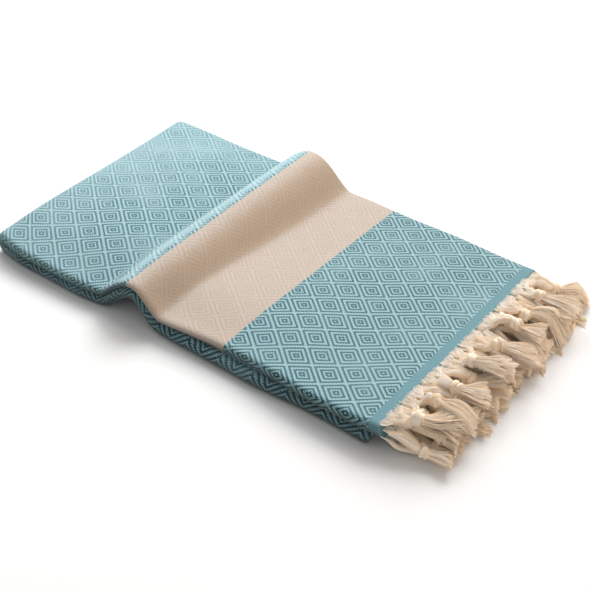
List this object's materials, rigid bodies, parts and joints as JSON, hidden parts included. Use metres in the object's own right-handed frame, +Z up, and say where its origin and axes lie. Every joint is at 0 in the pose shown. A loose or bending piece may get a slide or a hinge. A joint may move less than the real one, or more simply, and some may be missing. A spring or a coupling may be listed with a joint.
{
  "type": "hammam towel",
  "caption": "Thin flat-woven hammam towel folded into a stack of plies with rolled edges, a pinched hump across it and knotted tassels piled at one end.",
  "frame": {"origin": "on the ground, under the middle of the folded towel with its fringe", "axes": "+X along the stack towards the fringed end, +Y from the rolled front edge to the back edge, +Z up"},
  "size_m": [0.4744, 0.2684, 0.0508],
  "materials": {
    "cloth": "matte woven cotton",
    "fringe": "matte cotton yarn"
  },
  "bodies": {
    "root": {"cloth": "cloth", "fringe_first_end": "fringe", "fringe_second_end": "fringe"}
  },
  "joints": []
}
